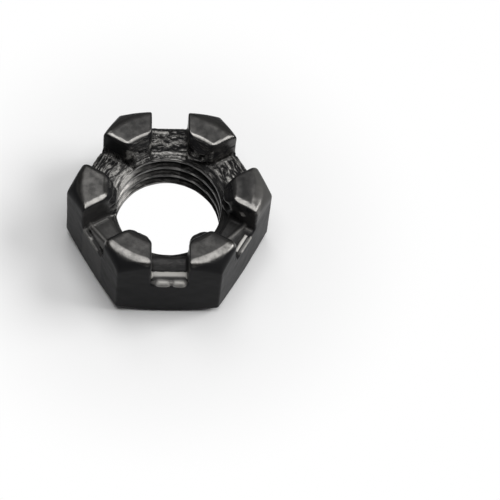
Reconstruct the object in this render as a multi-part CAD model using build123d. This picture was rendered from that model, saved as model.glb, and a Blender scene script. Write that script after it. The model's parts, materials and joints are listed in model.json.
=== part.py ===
from build123d import *
from build123d.topology import SkipClean
from math import ceil, cos, radians, sin, sqrt, tan
import os

# Hexagonal slotted nut for a 3/4 inch screw with 10 threads to the inch, in one piece.
# Frame: millimetres, origin at the centre of the bearing face, +Z along the thread towards the slots,
# +X through a corner of the hexagon and +Y through the middle of a flat and of its slot.

# The hexagon
SIDES = 6
ACROSS_FLATS = 28.575
HEIGHT = 15.8
CORNER_ROUND = 0.45

# The turned cones that take the corners off both ends
CROWN_RADIUS = 14.5
CROWN_ANGLE = 40.0
CROWN_ROUND = 3.3
BEARING_RADIUS = 14.05
BEARING_ANGLE = 30.0
BEARING_ROUND = 0.6

# The right-hand thread and the countersinks at its two ends
MINOR_RADIUS = 8.4
MAJOR_RADIUS = 9.525
PITCH = 2.54
FLANK_ANGLE = 30.0
ROOT_FLAT_SHARE = 1 / 8
SINK_MARGIN = 0.65
SINK_ANGLE = 45.0

# The slots for the split pin, one in the middle of each flat
SLOT_WIDTH = 5.85
SLOT_DEPTH = 5.65
SLOT_FLOOR_ROUND = 0.6
SLOT_MOUTH_ROUND = 0.5
SLOT_MOUTH_TURN = 60.0
SLOT_THROAT_ROUND = 0.8

# What the slotting left at the outer end of each floor: a ridge, a crease and a burr rolled over the flat
RIDGE_FROM_FLAT = 1.2
RIDGE_RADIUS = 0.9
RIDGE_RISE = 0.15
CREASE_FROM_FLAT = 0.5
CREASE_RADIUS = 0.3
BURR_RADIUS = 0.75
BURR_STAND = 0.42
BURR_SIDE_GAP = 0.35
BURR_LUMP_GAP = 0.45
BURR_LUMPS = 2

# How far a cutter runs past what it cuts, and how far inside the bore's wall the thread's cutter starts
OVERRUN = 1.0
GROOVE_OVERRUN = 0.28

FLAT_RADIUS = ACROSS_FLATS / 2
CORNER_RADIUS = FLAT_RADIUS / cos(radians(180 / SIDES))
REACH = CORNER_RADIUS + OVERRUN
FLOOR_Z = HEIGHT - SLOT_DEPTH


def at_each_flat(shape):
    """Copies of a shape drawn along +X, one turned to the middle of each flat."""
    angles = [360 / SIDES * (k + 0.5) for k in range(SIDES)]
    return [shape.moved(Location((0, 0, 0), (0, 0, angle))) for angle in angles]


def block():
    """The hexagonal bar, with its long edges rounded."""
    outline = RegularPolygon(CORNER_RADIUS, SIDES)
    return extrude(fillet(outline.vertices(), CORNER_ROUND), HEIGHT)


def turned_envelope():
    """Both end faces with their cones, as one turned solid that trims the bar."""
    lower_rim = (REACH - BEARING_RADIUS) * tan(radians(BEARING_ANGLE))
    upper_rim = HEIGHT - (REACH - CROWN_RADIUS) * tan(radians(CROWN_ANGLE))
    profile = FilletPolyline(
        (0, 0),
        (BEARING_RADIUS, 0),
        (REACH, lower_rim),
        (REACH, upper_rim),
        (CROWN_RADIUS, HEIGHT),
        (0, HEIGHT),
        radius=[0, BEARING_ROUND, 0, 0, CROWN_ROUND, 0],
        close=True,
    )
    return revolve(Plane.XZ * make_face(profile), Axis.Z)


def slot_section():
    """Cross-section of a slot, seen along it: round floor corners and a mouth that flares over round edges."""
    half = SLOT_WIDTH / 2
    turn = radians(SLOT_MOUTH_TURN)
    flare = half + SLOT_MOUTH_ROUND * (1 - cos(turn))
    shoulder = HEIGHT - SLOT_MOUTH_ROUND * sin(turn)
    top = HEIGHT + OVERRUN
    floor_bow = SLOT_FLOOR_ROUND * (1 - sqrt(0.5))
    mouth_bow = SLOT_MOUTH_ROUND * (1 - cos(turn / 2))
    floor_start = (half - SLOT_FLOOR_ROUND, FLOOR_Z)
    floor_middle = (half - floor_bow, FLOOR_Z + floor_bow)
    floor_end = (half, FLOOR_Z + SLOT_FLOOR_ROUND)
    mouth_middle = (half + mouth_bow, shoulder + SLOT_MOUTH_ROUND * sin(turn / 2))
    right = [
        Line((0, FLOOR_Z), floor_start),
        ThreePointArc(floor_start, floor_middle, floor_end),
        Line(floor_end, (half, shoulder)),
        ThreePointArc((half, shoulder), mouth_middle, (flare, HEIGHT)),
        Line((flare, HEIGHT), (flare, top)),
        Line((flare, top), (0, top)),
    ]
    left = [mirror(edge, Plane.YZ) for edge in right]
    return make_face(right + left)


def slot():
    """Room of one slot, from the axis out past the flat."""
    across = Plane(origin=(0, 0, 0), x_dir=(0, 1, 0), z_dir=(1, 0, 0))
    return extrude(across * slot_section(), REACH)


def throat_corner():
    """Room beside the slot that rounds the upright edge where its wall meets the bore."""
    half = SLOT_WIDTH / 2
    reach = MINOR_RADIUS + SLOT_THROAT_ROUND
    centre = Vector(sqrt(reach**2 - (half + SLOT_THROAT_ROUND) ** 2), half + SLOT_THROAT_ROUND)
    wall_end = Vector(centre.X, half)
    bore_end = centre * (MINOR_RADIUS / reach)
    corner = Vector(sqrt(MINOR_RADIUS**2 - half**2), half)
    arc = TangentArc(wall_end, bore_end, tangent=(-1, 0))
    section = make_face([arc, Line(bore_end, corner), Line(corner, wall_end)])
    start = FLOOR_Z + SLOT_FLOOR_ROUND
    return Pos(0, 0, start) * extrude(section, HEIGHT + OVERRUN - start)


def cross_rod(radius, distance, z, length):
    """A round rod across the slot's direction, with its axis at a distance from the thread's axis."""
    return Pos(distance, 0, z) * Rot(90, 0, 0) * Cylinder(radius, length)


def ridge():
    """Low round ridge across the slot's floor."""
    axis_z = FLOOR_Z + RIDGE_RISE - RIDGE_RADIUS
    return cross_rod(RIDGE_RADIUS, FLAT_RADIUS - RIDGE_FROM_FLAT, axis_z, SLOT_WIDTH)


def crease():
    """Groove across the slot's floor, between the ridge and the burr."""
    length = SLOT_WIDTH - 2 * SLOT_FLOOR_ROUND
    return cross_rod(CREASE_RADIUS, FLAT_RADIUS - CREASE_FROM_FLAT, FLOOR_Z, length)


def burr():
    """Round lumps side by side, their tops level with the slot's floor and standing out from the flat."""
    distance = FLAT_RADIUS + BURR_STAND - BURR_RADIUS
    step = (SLOT_WIDTH - 2 * BURR_SIDE_GAP) / BURR_LUMPS
    lump = cross_rod(BURR_RADIUS, distance, FLOOR_Z - BURR_RADIUS, step - BURR_LUMP_GAP)
    return [Pos(0, step * (k - (BURR_LUMPS - 1) / 2), 0) * lump for k in range(BURR_LUMPS)]


def countersink():
    """Cone of room at the mouth of the thread in the bearing face."""
    mouth = MAJOR_RADIUS + SINK_MARGIN
    slope = tan(radians(SINK_ANGLE))
    depth = (mouth - MINOR_RADIUS) / slope
    return Pos(0, 0, (depth - OVERRUN) / 2) * Cone(mouth + OVERRUN * slope, MINOR_RADIUS, depth + OVERRUN)


def half_bore():
    """Half of the plain hole through the thread's crests. Two of them leave a wall of two half-turns."""
    below = Pos(0, -MINOR_RADIUS) * Rectangle(2 * MINOR_RADIUS, 2 * MINOR_RADIUS)
    return Pos(0, 0, -OVERRUN) * extrude(Circle(MINOR_RADIUS) - below, HEIGHT + 2 * OVERRUN)


def groove_half_turn():
    """Half a turn of the thread's groove, starting on +X at z 0: ruled faces between four helices."""
    inner = MINOR_RADIUS - GROOVE_OVERRUN
    root = PITCH * ROOT_FLAT_SHARE / 2
    mouth = root + (MAJOR_RADIUS - inner) * tan(radians(FLANK_ANGLE))
    corners = [(inner, -mouth), (MAJOR_RADIUS, -root), (MAJOR_RADIUS, root), (inner, mouth)]
    helices = [Edge.make_helix(PITCH, PITCH / 2, radius, center=(0, 0, z)) for radius, z in corners]
    pairs = list(zip(helices, helices[1:] + helices[:1]))
    sides = [Face.make_surface_from_curves(a, b) for a, b in pairs]
    caps = [Face(Wire([Line(a @ end, b @ end).edge() for a, b in pairs])) for end in (0, 1)]
    return Solid(Shell(sides + caps))


def groove():
    """The whole groove, in half-turns that climb from below the bearing face to above the top."""
    half_turn = groove_half_turn()
    rise = PITCH / 2
    count = ceil((HEIGHT + 2 * PITCH) / rise)
    return [half_turn.moved(Location((0, 0, rise * k - PITCH), (0, 0, 180 * k))) for k in range(count)]


def slotted_nut():
    """The whole nut, one solid."""
    body = (block() & turned_envelope()) - at_each_flat(slot())
    corner = throat_corner()
    body = body - at_each_flat(corner) - at_each_flat(mirror(corner, Plane.XZ))
    body = body + at_each_flat(ridge()) - at_each_flat(crease())
    for lump in burr():
        body = body + at_each_flat(lump)
    sink = countersink()
    body = body - [sink, Pos(0, 0, HEIGHT) * Rot(180, 0, 0) * sink]
    with SkipClean():
        body = body - half_bore()
        body = body - Rot(0, 0, 180) * half_bore()
        body = body - groove()
    return body


os.makedirs("parts", exist_ok=True)
export_step(slotted_nut(), "parts/slotted_nut.step")
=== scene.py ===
# %% [markdown]
# # A slotted nut in black steel
# The object is a hexagonal nut whose top is cut into six prongs. A split pin goes through two of the
# slots and through a hole in the screw, so the nut can't turn loose. It is one piece of steel: the bar is
# hexagonal, the ends are turned, the slots are milled, the hole is tapped and the whole is blackened in a
# hot salt bath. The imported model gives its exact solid. Here the same solid gets what a camera sees on
# it: soft worn edges, burrs where the cutter left each slot, torn metal on the floors of the slots and
# the black finish.

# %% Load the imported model
import json

import bpy
import numpy as np
from mathutils import Matrix, Vector


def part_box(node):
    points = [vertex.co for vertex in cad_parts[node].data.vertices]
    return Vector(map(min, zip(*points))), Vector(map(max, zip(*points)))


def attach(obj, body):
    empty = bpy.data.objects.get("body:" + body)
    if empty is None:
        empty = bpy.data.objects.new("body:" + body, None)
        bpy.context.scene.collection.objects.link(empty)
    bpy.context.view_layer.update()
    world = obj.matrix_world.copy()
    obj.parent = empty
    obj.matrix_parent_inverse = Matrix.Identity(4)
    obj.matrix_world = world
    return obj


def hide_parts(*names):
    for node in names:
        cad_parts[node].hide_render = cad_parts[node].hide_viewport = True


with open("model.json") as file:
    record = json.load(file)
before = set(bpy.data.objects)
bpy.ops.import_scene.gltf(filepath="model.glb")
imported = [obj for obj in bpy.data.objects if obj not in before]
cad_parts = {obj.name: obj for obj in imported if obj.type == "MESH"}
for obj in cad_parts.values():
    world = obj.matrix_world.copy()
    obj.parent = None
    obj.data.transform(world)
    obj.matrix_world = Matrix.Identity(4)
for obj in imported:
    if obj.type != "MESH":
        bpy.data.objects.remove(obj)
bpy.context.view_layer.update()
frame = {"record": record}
node_low, node_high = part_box("slotted_nut")
print("nut, millimetres:", [round(1000 * v, 2) for v in node_high - node_low])

# %% [markdown]
# ## The nut's sizes
# All lengths below are in millimetres, as on a maker's drawing, and turn into metres only when the mesh
# is made. The height and the radius at the thread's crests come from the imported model, so that they can't
# drift from it. The others are the drawing's own: a coarse thread of ten turns to the inch, a hexagon for
# a standard wrench, and slots that take a split pin. The crown and bearing radii are where their cones
# start.

# %% Sizes
MM = 0.001
SIDES = 6
SECTOR = 2 * np.pi / SIDES
thread_mount = next(mount for mount in frame["record"]["mounts"] if mount["name"] == "thread")
HEIGHT = (node_high.z - node_low.z) / MM
FLAT_RADIUS = 28.575 / 2
CROWN_RADIUS = 14.5
BEARING_RADIUS = 14.05
CROWN_CONE = np.radians(40)
BEARING_CONE = np.radians(30)
MINOR_RADIUS = thread_mount["dims"]["r_mm"]
MAJOR_RADIUS = 9.525
PITCH = 2.54
FLANK = np.radians(30)
ROOT_HALF = PITCH / 16
SINK_MOUTH = 10.175
SLOT_HALF = 5.85 / 2
SLOT_DEPTH = 5.65
FLOOR_Z = HEIGHT - SLOT_DEPTH
print("height", round(HEIGHT, 3), "floor of the slots at", round(FLOOR_Z, 3), "crests at", MINOR_RADIUS)

# %% [markdown]
# ## A shape as a distance
# The nut is written as a field: a function that gives, for any point, about how far it lies outside the
# steel, with a minus sign inside. Cutting one shape from another is then a larger-of-two, and joining
# them a smaller-of-two. The reason to work this way is the edges. Where two faces meet, a plain maximum
# gives a knife edge, and a slightly blended maximum gives an edge that is worn round, as every edge of a
# tumbled and blackened nut is.

# %% Blending two distances
def smooth_max(a, b, width):
    """The larger of a and b, plus (width - |a - b|)^2 / (4 width) where they differ by less than width."""
    gap = np.clip(width - np.abs(a - b), 0, None)
    return np.maximum(a, b) + gap**2 / (4 * width)


def smooth_min(a, b, width):
    """The smaller of a and b, less the same term."""
    return -smooth_max(-a, -b, width)


def blend_width(radius, degrees):
    """Width of the blend that rounds an edge between faces at an angle to a radius: r tan(a/2) sin(a)."""
    angle = np.radians(degrees)
    return radius * np.tan(angle / 2) * np.sin(angle)


def ease(low, high, value):
    """0 below low, 1 above high, and 3t^2 - 2t^3 between them."""
    t = np.clip((value - low) / (high - low), 0, 1)
    return t * t * (3 - 2 * t)


def bump(value, width):
    """A bell that is 1 at 0 and falls off over a width: exp(-(value / width)^2)."""
    return np.exp(-((value / width) ** 2))


print("blend that rounds a square edge to 1 mm:", round(blend_width(1.0, 90), 3))

# %% [markdown]
# Steel that has been cut, torn and handled is uneven, and that takes a source of randomness that is the
# same on every run. Value noise is the simplest one: a lattice of cells, a fixed random number at each
# corner, and an eased blend between the eight corners around a point. Cells may be longer one way than
# another, which makes streaks.

# %% Value noise
NOISE_TABLE = np.random.default_rng(7).uniform(-1, 1, 4096)

# Large primes, which scatter neighbouring corners over the table
HASH_STEPS = np.array([73856093, 19349663, 83492791])
SEED_SHIFT = 17.3
LAYER_SHARE = 0.55


class Seed:
    """One number for each pattern, so that the patterns differ."""

    swell, stray, pitting = 1, 3, 5
    milled, tapped, lumps = 11, 21, 31
    rubbed, tops, wander = 41, 51, 61
    burrs, walls = 71, 81


def noise(points, cell, seed=0):
    """Random bumps from -1 to 1: values at the corners of cells, blended with 3t^2 - 2t^3 on each axis."""
    scaled = points / np.asarray(cell, float) + SEED_SHIFT * seed
    corner = np.floor(scaled).astype(np.int64)
    t = scaled - corner
    t = t * t * (3 - 2 * t)
    total = np.zeros(len(points))
    for step in np.ndindex(2, 2, 2):
        mixed = (corner + step) * HASH_STEPS
        index = (mixed[:, 0] ^ mixed[:, 1] ^ mixed[:, 2]) & (len(NOISE_TABLE) - 1)
        share = np.prod(np.where(step, t, 1 - t), axis=1)
        total += share * NOISE_TABLE[index]
    return total


def rough_noise(points, cell, seed=0, layers=3):
    """Several layers of noise, each of half the cell and LAYER_SHARE of the strength of the one before."""
    total = np.zeros(len(points))
    for layer in range(layers):
        total += LAYER_SHARE**layer * noise(points, np.asarray(cell, float) / 2**layer, seed + layer)
    return total


sample_line = np.linspace(0, 50, 501)[:, None] * np.array([[1.0, 0.0, 0.0]])
print("spread of the noise along a line:", round(float(np.std(noise(sample_line, 1.0))), 2))

# %% [markdown]
# ## The body
# The bar is six flats. Two cones take its corners off at the ends: the lower one small, at 30 degrees, so
# that the nut bears on a ring, and the upper one at 40 degrees and turned with a round nose, which gives
# the crown its soft shoulder. Six flats could be written one by one. Folding every point into the frame
# of its own slot leaves one flat and its neighbour to write, and the other five come for nothing.

# %% Body field
# Each edge: the radius that wear or the lathe gave it, and the angle between its two faces, in degrees
CORNER_BLEND = blend_width(0.45, 60)
CROWN_BLEND = blend_width(3.3, 40)
BEARING_BLEND = blend_width(0.6, 30)
SHOULDER_BLEND = blend_width(2.6, 50)
FOOT_BLEND = blend_width(0.7, 60)


def to_slot(points):
    """Each point in the frame of its slot: how far out along it, how far across it, and the slot's number."""
    turn = np.arctan2(points[:, 1], points[:, 0]) % (2 * np.pi)
    number = np.minimum((turn // SECTOR).astype(int), SIDES - 1)
    middle = (number + 0.5) * SECTOR
    out = points[:, 0] * np.cos(middle) + points[:, 1] * np.sin(middle)
    across = points[:, 1] * np.cos(middle) - points[:, 0] * np.sin(middle)
    return out, across, number


def body_field(radius, z, out, across):
    """The larger of flats, crown and bearing cone, each a distance to its plane or cone, blended."""
    next_flat = out * np.cos(SECTOR) + np.abs(across) * np.sin(SECTOR)
    flats = smooth_max(out, next_flat, CORNER_BLEND) - FLAT_RADIUS
    crown = (radius - CROWN_RADIUS) * np.sin(CROWN_CONE) + (z - HEIGHT) * np.cos(CROWN_CONE)
    top = smooth_max(z - HEIGHT, crown, CROWN_BLEND)
    bearing = (radius - BEARING_RADIUS) * np.sin(BEARING_CONE) - z * np.cos(BEARING_CONE)
    bottom = smooth_max(-z, bearing, BEARING_BLEND)
    return smooth_max(smooth_max(flats, top, SHOULDER_BLEND), bottom, FOOT_BLEND)


print("width across the corners when sharp, millimetres:", round(2 * FLAT_RADIUS / np.cos(SECTOR / 2), 2))

# %% [markdown]
# ## The thread
# A tap cuts a groove of 60 degrees that climbs one pitch in each turn. Seen along the axis, all that
# matters at a point is how far it is from the middle of the nearest groove. That distance and the radius
# describe the whole thread: a flat crest at the small radius, straight flanks, a narrow root at the large
# one, and a countersink at each mouth so that the screw finds its way in. A profile swept along a helix
# would give the same thread, but it would still have to be cut by the slots, and a distance is cut by
# taking the larger.

# %% Thread field
CREST_BLEND = 0.12
ROOT_BLEND = 0.1
SINK_BLEND = 0.24
BRIM_BLEND = 0.3


def climb_at(turn):
    """How far the thread has climbed at a turn: PITCH * turn / (2 pi)."""
    return PITCH * turn / (2 * np.pi)


def groove_distance(turn, z):
    """Distance along the axis from the middle of the nearest groove."""
    return np.abs((z - climb_at(turn) + PITCH / 2) % PITCH - PITCH / 2)


def thread_wall(turn, z):
    """Radius of the hole's sharp wall: straight flanks between crest and root, and the two sinks."""
    flank = MAJOR_RADIUS - (groove_distance(turn, z) - ROOT_HALF) / np.tan(FLANK)
    sink = SINK_MOUTH - np.minimum(z, HEIGHT - z)
    return np.maximum(np.clip(flank, MINOR_RADIUS, MAJOR_RADIUS), sink)


def hole_field(points, radius, z):
    """The larger of crest, tooth and sink, where a tooth is the smaller of its flank and its root."""
    turn = np.arctan2(points[:, 1], points[:, 0])
    off_groove = groove_distance(turn, z)
    flank = (MAJOR_RADIUS - radius) * np.sin(FLANK) - (off_groove - ROOT_HALF) * np.cos(FLANK)
    tooth = smooth_min(flank, MAJOR_RADIUS - radius, ROOT_BLEND)
    thread = smooth_max(MINOR_RADIUS - radius, tooth, CREST_BLEND)
    sink = (SINK_MOUTH - np.minimum(z, HEIGHT - z) - radius) * np.sqrt(0.5)
    return smooth_max(thread, sink, SINK_BLEND)


crest = PITCH - 2 * (ROOT_HALF + (MAJOR_RADIUS - MINOR_RADIUS) * np.tan(FLANK))
print("width of a crest, millimetres:", round(crest, 3), "turns in the hole:", round(HEIGHT / PITCH, 1))

# %% [markdown]
# ## What differs from slot to slot
# The cutter drags steel along as it leaves a slot, so the outer end of each floor has forms of its own: a
# ridge across it, a lip or a bar, a ledge that drops to the flat, and a burr that rolled over the edge in
# two lumps. The mouths were rubbed differently too, and no two slots came out the same. They could be
# modelled one by one, but a table with a column for each slot keeps them side by side, and one set of
# formulas then serves all six. The slots are counted from +X towards +Y: back right, back, back left,
# front left, front, front right.

# %% Sizes of the slots' ends
FIRST_FRONT_SLOT = 3
FRONT_SLOT = 4
FRONT_RIGHT_SLOT = 5


class SlotEnds:
    """Lengths in millimetres, and shares of bare or torn steel, partly painted highlight. A back is a
    distance in from the flat.
    """

    # Where there are two rows, the first is the side of the slot where across is negative
    # The mouth's edges: how widely blended, how worn, how wide flattened, and how worn the wall below is
    mouth_blend = np.array([[0.9, 0.35, 0.45, 0.45, 0.35, 1.25], [0.45, 0.35, 0.9, 1.25, 0.35, 0.45]])
    mouth_wear = np.array([[0.15, 0.1, 0.9, 0.8, 0.1, 0.1], [0.9, 0.1, 0.15, 0.1, 0.1, 0.7]])
    brow_width = np.array([[0.0, 0.0, 0.75, 1.05, 0.0, 0.0], [0.75, 0.0, 0.0, 0.0, 0.0, 1.05]])
    wall_wear = np.array([[0.05, 0.05, 0.05, 0.05, 0.05, 0.05], [0.2, 0.05, 0.05, 0.05, 0.05, 0.1]])
    # A ridge across the floor
    ridge_back = np.array([2.7, 1.85, 2.15, 1.84, 3.85, 2.67])
    ridge_slant = np.array([-0.33, 0.05, 0.07, -0.176, 0.0, 0.277])
    ridge_height = np.array([0.22, 0.3, 0.22, 0.26, 0.0, 0.38])
    ridge_width = np.array([0.2, 0.18, 0.22, 0.3, 0.5, 0.34])
    ridge_torn = np.array([0.35, 0.9, 0.45, 0.3, 0.0, 0.4])
    # A lip near the flat, which in the front slot is a broad bar
    lip_back = np.array([0.8, 1.09, 0.8, 0.8, 1.29, 0.8])
    lip_half = np.array([0.15, 0.2, 0.2, 0.2, 0.7, 0.3])
    lip_height = np.array([0.12, 0.12, 0.12, 0.0, 0.28, 0.26])
    lip_tilt = np.array([0.0, 0.0, 0.0, 0.0, 0.2, 0.4])
    lip_middle = np.array([0.0, 1.1, 0.0, 0.0, 0.0, -0.3])
    lip_reach = np.array([2.6, 1.0, 2.6, 2.6, 3.0, 1.7])
    # Share of torn steel on the lip, which on the front bars is also a painted highlight on their tops
    lip_torn_and_highlight = np.array([0.3, 1.0, 0.3, 0.0, 1.0, 1.0])
    # A ledge between the lip and the flat, which makes the crease above the burr
    ledge_back = np.array([0.5, 0.45, 0.5, 0.75, 0.55, 0.46])
    ledge_drop = np.array([0.2, 0.12, 0.2, 0.32, 0.9, 0.5])
    ledge_reach = np.array([3.0, 3.0, 3.0, 3.0, 3.0, 1.2])
    # A step in the floor, nearer to the thread
    step_back = np.array([4.6, 3.1, 3.6, 3.5, 3.85, 4.2])
    step_rise = np.array([0.14, 0.16, 0.12, 0.0, -0.13, 0.0])
    step_width = np.array([0.15, 0.15, 0.15, 0.3, 0.45, 0.3])
    step_torn = np.array([0.3, 0.8, 0.3, 0.0, 0.0, 0.0])
    # A low bead along the foot of one wall
    foot_side = np.array([1.0, 1.0, -1.0, -1.0, 1.0, 1.0])
    foot_from = np.array([0.5, 0.5, 0.5, 0.2, 0.5, 0.4])
    foot_to = np.array([4.0, 4.0, 4.0, 4.4, 4.0, 1.9])
    foot_height = np.array([0.12, 0.0, 0.12, 0.2, 0.0, 0.25])
    # The burr's two lumps on the flat: radius, how far they stand out, middles and half lengths
    burr_radius = np.array([0.3, 0.3, 0.3, 0.3, 0.68, 0.36])
    burr_stand = np.array([0.14, 0.1, 0.14, 0.2, 0.4, 0.34])
    burr_middles = np.array([[-1.3, 1.3], [-1.3, 1.3], [-1.3, 1.3], [-1.6, 0.8], [-0.98, 1.6], [-0.8, 0.85]])
    burr_halves = np.array([[1.1, 1.1], [1.1, 1.1], [1.1, 1.1], [0.9, 0.95], [0.6, 0.52], [0.65, 0.65]])
    # Share of torn steel on the burr, which is also its painted highlight along the middle
    burr_torn_and_highlight = np.array([0.2, 0.2, 0.2, 0.3, 1.0, 0.7])
    # A drop of steel that stuck in two of the slots, where the radius isn't 0
    drop_out = np.array([0.0, 0.0, 0.0, 14.3, 0.0, 11.7])
    drop_across = np.array([0.0, 0.0, 0.0, -0.6, 0.0, 2.9])
    drop_z = np.array([0.0, 0.0, 0.0, 10.1, 0.0, 13.1])
    drop_radius = np.array([0.0, 0.0, 0.0, 0.34, 0.0, 0.45])


print("drops of steel:", int((SlotEnds.drop_radius > 0).sum()))
print("flattened mouth edges:", int((SlotEnds.brow_width > 0).sum()))

# %% [markdown]
# ## The slots
# A cutter as wide as the slot goes through each flat. Its corners are round, so the floor meets the walls
# in a small radius, and towards the thread the floor falls away in a bevel. In the field a slot is the
# room between two planes and above a floor, and the floor is one height for each place: level, plus a
# bell for a ridge, an eased plateau for a lip and an eased step. Heights only have to be added, which is
# why the ends are made so.

# %% Slot field
FLOOR_BLEND = 0.55
BEVEL_START, BEVEL_LENGTH, BEVEL_SLOPE = 9.9, 1.0, 0.36
FOOT_ACROSS, FOOT_WIDTH, FOOT_FADE = 2.45, 0.17, 0.2

# A pair, here and below, holds the two ends of an ease
LIP_EDGE, LIP_END = (-0.1, 0.15), (-0.1, 0.25)
LEDGE_EDGE, LEDGE_END = (-0.08, 0.06), (-0.2, 0.2)

# The waves of the cutter's lines: how far they stray, how long they are, and a row of noise for each slot
STRAY, STRAY_CELL, SLOT_SPACING = 0.4, 1.2, 5.0


def along_foot(back, number):
    """1 between the foot's two ends and 0 past them, eased over FOOT_FADE either side of both."""
    begun = ease(-FOOT_FADE, FOOT_FADE, back - SlotEnds.foot_from[number])
    return begun * (1 - ease(-FOOT_FADE, FOOT_FADE, back - SlotEnds.foot_to[number]))


def strayed(back, across, number):
    """Distance back from the flat, shifted to and fro along a back slot, where the cutter's lines wave."""
    place = np.stack([across, SLOT_SPACING * number, 0 * across], axis=1)
    return back + STRAY * noise(place, STRAY_CELL, Seed.stray) * (number < FIRST_FRONT_SLOT)


def ridge_line(across, number):
    """Where the ridge lies, back from the flat: a straight line that slants across the slot."""
    return SlotEnds.ridge_back[number] - SlotEnds.ridge_slant[number] * across


def beside_lip(across, number):
    """How far a point lies past the ends of the lip, across the slot."""
    return np.abs(across - SlotEnds.lip_middle[number]) - SlotEnds.lip_reach[number]


def floor_height(out, across, number):
    """Height of a slot's floor: level, plus ridge, lip, step and foot, less the ledge and the bevel."""
    back = FLAT_RADIUS - out
    waved = strayed(back, across, number)
    off_ridge = waved - ridge_line(across, number)
    ridge = SlotEnds.ridge_height[number] * bump(off_ridge, SlotEnds.ridge_width[number])
    off_lip = back - SlotEnds.lip_back[number]
    plateau = 1 - ease(*LIP_EDGE, np.abs(off_lip) - SlotEnds.lip_half[number])
    plateau = plateau * (1 - ease(*LIP_END, beside_lip(across, number)))
    lip = plateau * (SlotEnds.lip_height[number] + SlotEnds.lip_tilt[number] * off_lip)
    ledge = SlotEnds.ledge_drop[number] * (1 - ease(*LEDGE_EDGE, back - SlotEnds.ledge_back[number]))
    ledge = ledge * (1 - ease(*LEDGE_END, across - SlotEnds.ledge_reach[number]))
    step = ease(-1, 1, (SlotEnds.step_back[number] - waved) / SlotEnds.step_width[number])
    step = SlotEnds.step_rise[number] * step
    off_foot = across * SlotEnds.foot_side[number] - FOOT_ACROSS
    foot = SlotEnds.foot_height[number] * bump(off_foot, FOOT_WIDTH)
    foot = foot * along_foot(back, number)
    bevel = BEVEL_SLOPE * np.clip(BEVEL_START - out, 0, BEVEL_LENGTH)
    return FLOOR_Z + ridge + lip + step + foot - ledge - bevel


def slot_field(out, across, z, number):
    """The room of a slot: the larger of |across| less half its width, and its floor's height less z."""
    return smooth_max(np.abs(across) - SLOT_HALF, floor_height(out, across, number) - z, FLOOR_BLEND)


every_slot = np.arange(SIDES)
lip_tops = floor_height(FLAT_RADIUS - SlotEnds.lip_back, SlotEnds.lip_middle, every_slot)
print("height of each slot's floor at its lip, millimetres:", np.round(lip_tops, 2))

# %% [markdown]
# ## Burrs, drops and flattened edges
# The burr is steel that the cutter pushed over the flat. It lies there as two small lumps, like drops
# that ran together. A lump is a capsule: all the points within a radius of a short line. A drop is a
# ball. Where the mouths and the rim of the hole were knocked flat, a plane leans a little from the top:
# so slight a lean is hardly seen as a shape, but it turns the steel towards the light, and each of these
# edges shows as a bright line.

# %% Burr, drop and brow fields
FAR_OFF = 10.0
BROW_TILT = np.radians(14)
BRIM_BROW = 0.5


def burr_field(out, across, z, number):
    """Two capsules along the flat, level with the floor's edge, sunk until only burr_stand stands out."""
    size = SlotEnds.burr_radius[number]
    line_out = FLAT_RADIUS + SlotEnds.burr_stand[number] - size
    past_end = np.abs(across[:, None] - SlotEnds.burr_middles[number]) - SlotEnds.burr_halves[number]
    beside = np.clip(past_end, 0, None).min(axis=1)
    return np.sqrt((out - line_out) ** 2 + beside**2 + (z - FLOOR_Z + size) ** 2) - size


def drop_field(out, across, z, number):
    """A ball: distance from its middle less its radius. Where a slot has no drop, everything is far off."""
    size = SlotEnds.drop_radius[number]
    aside = across - SlotEnds.drop_across[number]
    off = np.stack([out - SlotEnds.drop_out[number], aside, z - SlotEnds.drop_z[number]])
    return np.where(size > 0, np.linalg.norm(off, axis=0) - size, FAR_OFF)


def brow_field(radius, z, across, number):
    """Planes leaning from the top: height times cos(BROW_TILT) plus distance to the edge times its sine."""
    width = SlotEnds.brow_width[(across > 0).astype(int), number]
    rise = (z - HEIGHT) * np.cos(BROW_TILT)
    mouth = rise + (SLOT_HALF + width - np.abs(across)) * np.sin(BROW_TILT)
    brim = rise + (SINK_MOUTH + BRIM_BROW - radius) * np.sin(BROW_TILT)
    return np.maximum(np.where(width > 0, mouth, -FAR_OFF), brim)


brow_drop = float(SlotEnds.brow_width.max() * np.tan(BROW_TILT))
print("deepest edge of a brow, millimetres below the top:", round(brow_drop, 2))

# %% [markdown]
# ## The whole nut as one field
# The parts now come together in the order in which the real nut was made: bar and cones, knocked edges,
# hole, slots, and last the steel that was added, which is joined instead of cut. Each meeting has its own
# blend, because a tap leaves a keener edge than a barrel full of other nuts does. A field of the whole is
# worth having for its slope too: it points straight out of the steel everywhere.

# %% The nut's field
BROW_BLEND = 0.04
DROP_BLEND = 0.12
FLOOR_EDGE_BLEND, EDGE_RISE = 0.3, 1.0
THROAT_BLEND, THROAT_FADE = 1.1, 1.5


def nut_field(points):
    """The larger of body, brows and hole, less the slots, and the smaller of that, the drops and burrs."""
    out, across, number = to_slot(points)
    z = points[:, 2]
    radius = np.hypot(points[:, 0], points[:, 1])
    brim = SINK_BLEND + (BRIM_BLEND - SINK_BLEND) * ease(FLOOR_Z, HEIGHT, z)
    body = smooth_max(body_field(radius, z, out, across), brow_field(radius, z, across, number), BROW_BLEND)
    steel = smooth_max(body, hole_field(points, radius, z), brim)
    throat = 1 - ease(MAJOR_RADIUS, MAJOR_RADIUS + THROAT_FADE, radius)
    mouth = SlotEnds.mouth_blend[(across > 0).astype(int), number]
    upper = mouth + (THROAT_BLEND - mouth) * throat
    edge = FLOOR_EDGE_BLEND + (upper - FLOOR_EDGE_BLEND) * ease(FLOOR_Z, FLOOR_Z + EDGE_RISE, z)
    steel = smooth_max(steel, -slot_field(out, across, z, number), edge)
    steel = smooth_min(steel, drop_field(out, across, z, number), DROP_BLEND)
    return smooth_min(steel, burr_field(out, across, z, number), DROP_BLEND)


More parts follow.
